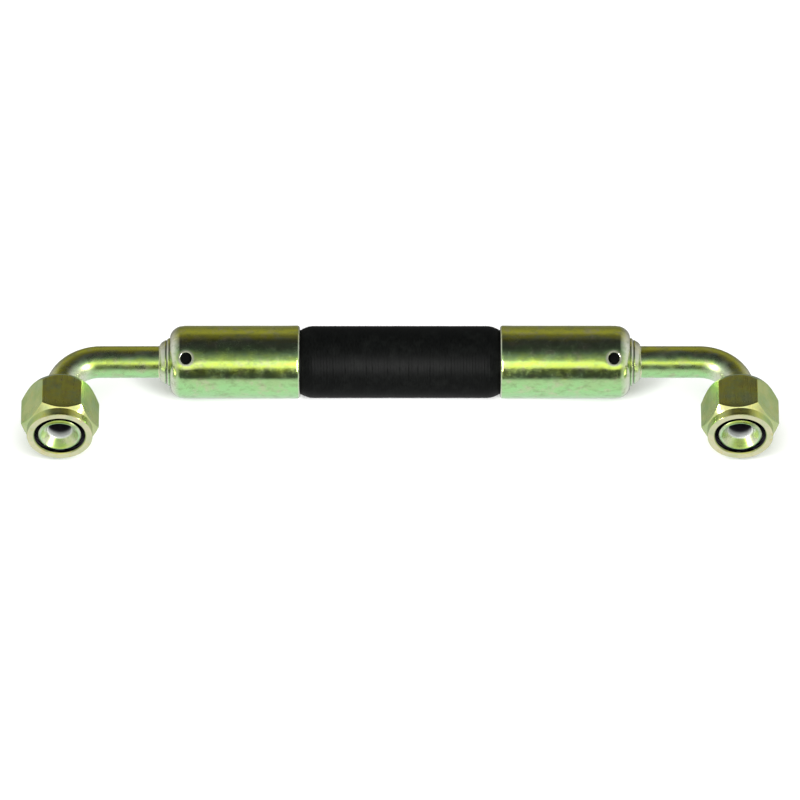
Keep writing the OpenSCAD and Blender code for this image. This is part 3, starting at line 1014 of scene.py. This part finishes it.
def about_tube(stations, radii, turn, side):
    """Stations run from the socket along the centre line. Turn is measured from the bend's outside to +Z.

    In the bend the direction turns by the station's length over the bend's radius. Past it the tube runs on
    along -Y. The oval takes 1.5 percent off the radius across the bend and adds it upright.
    """
    bend = np.clip((stations - first_leg) / bend_radius, 0, 0.5 * math.pi)
    run_in = np.minimum(stations, first_leg)
    run_out = np.maximum(stations - first_leg - bend_length, 0)
    oval = ovality * np.sin(2 * bend) * np.cos(2 * turn)
    radii = radii * (1 - oval)
    outwards = bend_radius + radii * np.cos(turn)
    x = socket_x + run_in + outwards * np.sin(bend)
    y = hose_middle[1] - bend_radius + outwards * np.cos(bend) - run_out
    z = hose_middle[2] + radii * np.sin(turn)
    return np.stack(np.broadcast_arrays(sign[side] * x, y, z), axis=-1)


# %% Build both tubes
def tube_outline():
    """Bore, socket end, outside, the flare's outer cone, lip and funnel."""
    lip_r = rim_r - flare_wall * math.cos(flare_angle)
    rim_back = flare_wall * math.sin(flare_angle)
    flare_back = rim_back + (rim_r - tube_r) / flare_slope
    funnel = (lip_r - tube_bore_r) / flare_slope
    corners = [(0, tube_bore_r), (0, tube_r, 0.4 * mm), (tube_length - flare_back, tube_r, 0.3 * mm)]
    corners += [(tube_length - rim_back, rim_r, 0.2 * mm), (tube_length, lip_r, 0.3 * mm)]
    corners += [(tube_length - funnel, tube_bore_r, 0.6 * mm)]
    return outline(corners, 0.15 * mm, 0.7 * mm, steps=5)


def tube_shades(line):
    """Two numbers for each point of the outline: how much painted shade it gets, and how far it lies in the
    bore.

    The painted shade lies on the outside of the flare and tube within the nut, and in the depth of the bore.
    """
    radii = line[:, 0, 1]
    from_lip = tube_length - line[:, 0, 0]
    funnel_r = rim_r - flare_wall - flare_slope * from_lip
    half_wall = 0.8 * mm
    outside = (radii > funnel_r + half_wall) & (radii > tube_bore_r + half_wall)
    in_nut = outside & (from_lip > 1.1 * mm)
    gap = in_nut * np.clip((nut_length - 2 * mm - from_lip) / (2 * mm), 0, 1)
    in_bore = radii < tube_bore_r + 0.1 * mm
    gap = gap + in_bore * np.clip((from_lip - 5.2 * mm) / (1.8 * mm), 0, 1)
    bore = np.clip((tube_bore_r + 0.5 * mm - radii) / (0.4 * mm), 0, 1)
    return gap, bore


tube_columns = 112
for side in ("left", "right"):
    line = tube_outline()
    tube = turned_piece(side + "_bent_tube", line, about_tube, side, tube_columns)
    store_facing(tube)
    for name, shade in zip(("gap", "bore"), tube_shades(line)):
        store(tube, name, np.repeat(shade, tube_columns))
    finish_piece(tube, [side + "_elbow_tube"], tube_zinc, [side + "_half"])

# %% [markdown]
# ## Sleeve and nut
# The nut doesn't touch the tube. It pushes a sleeve, whose cone presses on the back of the flare. The nut is
# cut from hexagon bar on a lathe: the cones at both ends meet the six flats in curves, which come out right
# when each angle round the nut gets an outline of its own. Inside runs a right-handed M22 x 1.5 thread.

# %% Sizes from the frame
sleeve_bore_r = tube_r + 0.07 * mm
neck_r = sleeve_bore_r + 0.88 * mm
head_r = rim_r + 0.15 * mm
head_edge = 0.45 * mm
head_length = 5 * mm
head_front = reach("right_sleeve", 1, low=True) - lip_y
head_back = head_front + head_length
neck_end = reach("right_sleeve", 1) - lip_y
flat_r = 13.5 * mm
corner_round = 0.35 * mm
nose_r = flat_r - 0.4 * mm
nose_length = 3.4 * mm
rear_face_r = flat_r - 0.7 * mm
rear_chamfer = 4 * mm
thread_r = 10.2 * mm
nut_shoulder = head_back - (thread_r - head_r) + 0.1 * mm
neck_bore_r = neck_r + 0.08 * mm
nut_turn = {"left": math.radians(94), "right": math.radians(86)}


def sleeve_outline():
    """Front cone, head, rear cone and neck."""
    cone_back = head_front + (head_r - head_edge - sleeve_bore_r) / flare_slope
    corners = [(head_front, head_r - head_edge), (head_front + head_edge, head_r), (head_back, head_r)]
    corners += [(head_back + head_r - neck_r, neck_r, 0.3 * mm), (neck_end, neck_r)]
    corners += [(neck_end, sleeve_bore_r), (cone_back, sleeve_bore_r, 0.8 * mm)]
    return outline(corners, 0.12 * mm, 1.0 * mm)


# %% The hexagon by angle
def hexagon_columns():
    """Angles round the nut from a flat's middle, close together at the six rounded corners."""
    centre = (flat_r - corner_round) / math.cos(math.pi / 6)
    tangent = math.atan2(corner_round / 2, centre + corner_round * math.cos(math.pi / 6))
    flat = np.linspace(-math.pi / 6 + tangent, math.pi / 6 - tangent, 25)
    corner = np.linspace(math.pi / 6 - tangent, math.pi / 6 + tangent, 7)[1:-1]
    sector = np.concatenate([flat, corner])
    return (sector + np.arange(6)[:, None] * math.pi / 3).ravel()


def hexagon_radius(turn):
    """Flat radius over the cosine of the angle from the flat's middle, with a circle at each corner.

    A ray at an angle e from the corner meets the corner's circle, whose centre lies c out, at
    c cos e + sqrt(r squared - (c sin e) squared). The smaller of the two radii is the outside.
    """
    off = (turn + math.pi / 6) % (math.pi / 3) - math.pi / 6
    centre = (flat_r - corner_round) / math.cos(math.pi / 6)
    from_corner = math.pi / 6 - np.abs(off)
    inside = corner_round ** 2 - (centre * np.sin(from_corner)) ** 2
    circle = centre * np.cos(from_corner) + np.sqrt(np.maximum(inside, 0))
    return np.where(inside > 0, np.minimum(circle, flat_r / np.cos(off)), flat_r / np.cos(off))


# %% The nut's outlines and its thread
thread_pitch = 1.5 * mm
thread_depth = 0.8 * mm
thread_end = 11 * mm
entry_chamfer = 0.45 * mm
thread_step = 0.15 * mm


def thread_cut(stations, turn):
    """Depth of a 60 degree thread, which runs back along +Y by one pitch per turn: right-handed."""
    phase = (stations / thread_pitch - turn / (2 * math.pi)) % 1
    from_crest = np.minimum(phase, 1 - phase)
    cut = thread_depth * np.clip((from_crest - 0.125) / 0.3125, 0, 1)
    fade = np.clip((stations - 0.2 * mm) / (0.9 * mm), 0, 1) * np.clip((thread_end - stations) / mm, 0, 1)
    return cut * fade


def hexagon_nut(side):
    """One outline per angle: nose, front cone, flat, rear cone, bore, shoulder and thread."""
    turn = hexagon_columns()
    out = hexagon_radius(turn)
    longest = 1.5 * mm
    corner_r = flat_r / math.cos(math.pi / 6)
    rear_slope = rear_chamfer / (corner_r - rear_face_r)

    def corner(station, radius):
        """One corner for every angle round the nut."""
        return np.stack(np.broadcast_arrays(station, radius, out)[:2], axis=-1)

    corners = [
        (corner(entry_chamfer, thread_r), 0),
        (corner(0, thread_r + entry_chamfer), 0.12 * mm),
        (corner(0, nose_r), 0.3 * mm),
        (corner(nose_length, nose_r), 0.3 * mm),
        (corner(nose_length + out - nose_r, out), 0.3 * mm),
        (corner(nut_length - (out - rear_face_r) * rear_slope, out), 0.35 * mm),
        (corner(nut_length, rear_face_r), 0.25 * mm),
        (corner(nut_length, neck_bore_r), 0.2 * mm),
        (corner(nut_shoulder + thread_r - neck_bore_r, neck_bore_r), 0.2 * mm),
        (corner(nut_shoulder, thread_r), 0),
    ]
    rows = rounded(np.array([point for point, _ in corners]), [radius for _, radius in corners], steps=4)
    line = spaced(rows, longest)
    # The outline's last side is the plain bore, and the thread's finer rows take its place
    line = line[: len(line) - math.ceil((nut_shoulder - entry_chamfer) / longest) + 1]
    closing = np.arange(nut_shoulder - thread_step, entry_chamfer, -thread_step)[:, None]
    stations = np.concatenate([line[..., 0], np.repeat(closing, len(turn), axis=1)])
    radii = np.concatenate([line[..., 1], thread_r + thread_cut(closing, turn)])
    skin = about_nut(stations, radii, turn + nut_turn[side], side)
    nut = make_piece(side + "_hexagon_nut", skin, grid_faces(*skin.shape[:2]))
    store(nut, "ring", (radii / mm).ravel())
    store(nut, "turned", np.clip((nose_length + 3 * mm - stations) / mm, 0, 1).ravel())
    # Painted shade in the thread: the nut's bore is darkened from 0.8 mm inside its front face
    in_bore = (radii < thread_r + thread_depth) & (stations > 0.3 * mm) & (stations < nut_length - 0.3 * mm)
    store(nut, "gap", (in_bore * np.clip(stations / (0.8 * mm), 0, 1)).ravel())
    return nut


for side in ("left", "right"):
    nut = hexagon_nut(side)
    store_facing(nut)
    finish_piece(nut, [side + "_nut"], nut_zinc, [side + "_swivel_nut"])
    sleeve = turned_piece(side + "_flare_sleeve", sleeve_outline(), about_nut, side, 96)
    store_facing(sleeve)
    # Painted shade: the sleeve is darkened except within 1.5 mm of the rear end of its neck
    away = lip_y + neck_end - point_places(sleeve)[:, 1]
    store(sleeve, "gap", np.clip(away / (1.5 * mm), 0, 1))
    finish_piece(sleeve, [side + "_sleeve"], nut_zinc, [side + "_sleeve_slider"])

# %% [markdown]
# ## The studio
# Polished metal shows the room and not itself, so the room is most of the picture. Here it is a sky made of
# nodes: a long soft lamp in front and above, a dark ceiling, a dim wall behind, bright walls at both sides
# and a pale floor. One broad lamp overhead lights the floor softly, and a small one near the hose puts a
# sheen on the black rubber. The floor is left out of the metal's reflections, because the sky's own lower
# half stands for it.


# %% A sky with soft bands
def studio_sky():
    """Brightness by the turn in degrees from the front horizon over the top, and bright side walls."""
    world = bpy.data.worlds.new("studio")
    bpy.context.scene.world = world
    world.use_nodes = True
    tree = world.node_tree
    towards = add(tree, "ShaderNodeTexCoord").outputs["Object"]
    parts = add(tree, "ShaderNodeSeparateXYZ", {0: towards}).outputs
    turn = calculate(tree, "ARCTAN2", parts["Z"], calculate(tree, "MULTIPLY", parts["Y"], -1.0))
    share = between(tree, turn, -math.pi, math.pi)
    levels = [
        (-180, 0.20), (-128, 0.34), (-115, 0.85), (-60, 0.93), (-12, 0.90), (-5, 0.07), (26, 0.06),
        (31, 1.20), (47, 1.50), (53, 0.50), (80, 0.10), (90, 0.05), (122, 0.05), (132, 0.13), (142, 0.16),
        (154, 0.36), (180, 0.24),
    ]
    stops = [((degrees + 180) / 360, (level, level, level)) for degrees, level in levels]
    bands = ramp(tree, share, stops)
    sides = between(tree, calculate(tree, "ABSOLUTE", parts["X"]), 0.35, 0.92, 0, 1)
    colour = blend_colours(tree, sides, bands, (0.85, 0.87, 0.85))
    fill(tree, tree.nodes["Background"], {"Color": colour, "Strength": 1.0})


def overhead_lamp():
    """A very broad lamp that lights the floor and makes no highlight."""
    lamp = bpy.data.lights.new("overhead", "SUN")
    lamp.energy = 3.1
    lamp.angle = math.radians(120)
    put("overhead", lamp).visible_glossy = False


def hose_lamp():
    """A small soft lamp close to the hose, because black rubber swallows the light of the room."""
    turn = math.radians(36)
    lamp = bpy.data.lights.new("hose_lamp", "AREA")
    lamp.shape = "RECTANGLE"
    lamp.size = 70 * mm
    lamp.size_y = 30 * mm
    lamp.energy = 0.25
    holder = put("hose_lamp", lamp)
    towards = np.array([0, -math.cos(turn), math.sin(turn)])
    away = 130 * mm
    holder.location = hose_middle + away * towards
    holder.rotation_euler = Vector(towards).to_track_quat("Z", "X").to_euler()
    holder.visible_camera = False


def pale_floor():
    """A wide floor just under the object, with a barely uneven tone."""
    half = 15.0
    height = cad_box[0][2] - 0.01 * mm
    corners = [(-half, -half, height), (half, -half, height), (half, half, height), (-half, half, height)]
    mesh = bpy.data.meshes.new("floor")
    mesh.from_pydata(corners, [], [(0, 1, 2, 3)])
    floor = put("floor", mesh)
    material, tree, shader = start_material("pale_floor")
    tone = ramp(tree, noise(tree, 2.0), [(0.3, (0.93, 0.93, 0.93)), (0.7, (0.96, 0.96, 0.96))])
    fill(tree, shader, {"Base Color": tone, "Roughness": 0.9, "Specular IOR Level": 0.1})
    mesh.materials.append(material)
    floor.visible_glossy = False


studio_sky()
overhead_lamp()
hose_lamp()
pale_floor()
bpy.context.scene.view_settings.view_transform = "Standard"


# %% The camera looks down at 48 degrees from far away, so that both ends look alike
camera_turn = math.radians(48)
camera_away = 5.5
view_width = 0.32
aim_below = 15.2 * mm


def place_camera():
    """Aims a long lens a little under the hose's middle, so that view_width fills the picture's width."""
    up = np.array([0, math.sin(camera_turn), math.cos(camera_turn)])
    back = np.array([0, -math.cos(camera_turn), math.sin(camera_turn)])
    aim = hose_middle - aim_below * up
    camera = bpy.data.cameras.new("camera")
    camera.lens = camera.sensor_width * camera_away / view_width
    camera.clip_end = 60
    holder = put("camera", camera)
    holder.location = aim + camera_away * back
    holder.rotation_euler = Vector(-back).to_track_quat("-Z", "Y").to_euler()
    bpy.context.scene.camera = holder


place_camera()
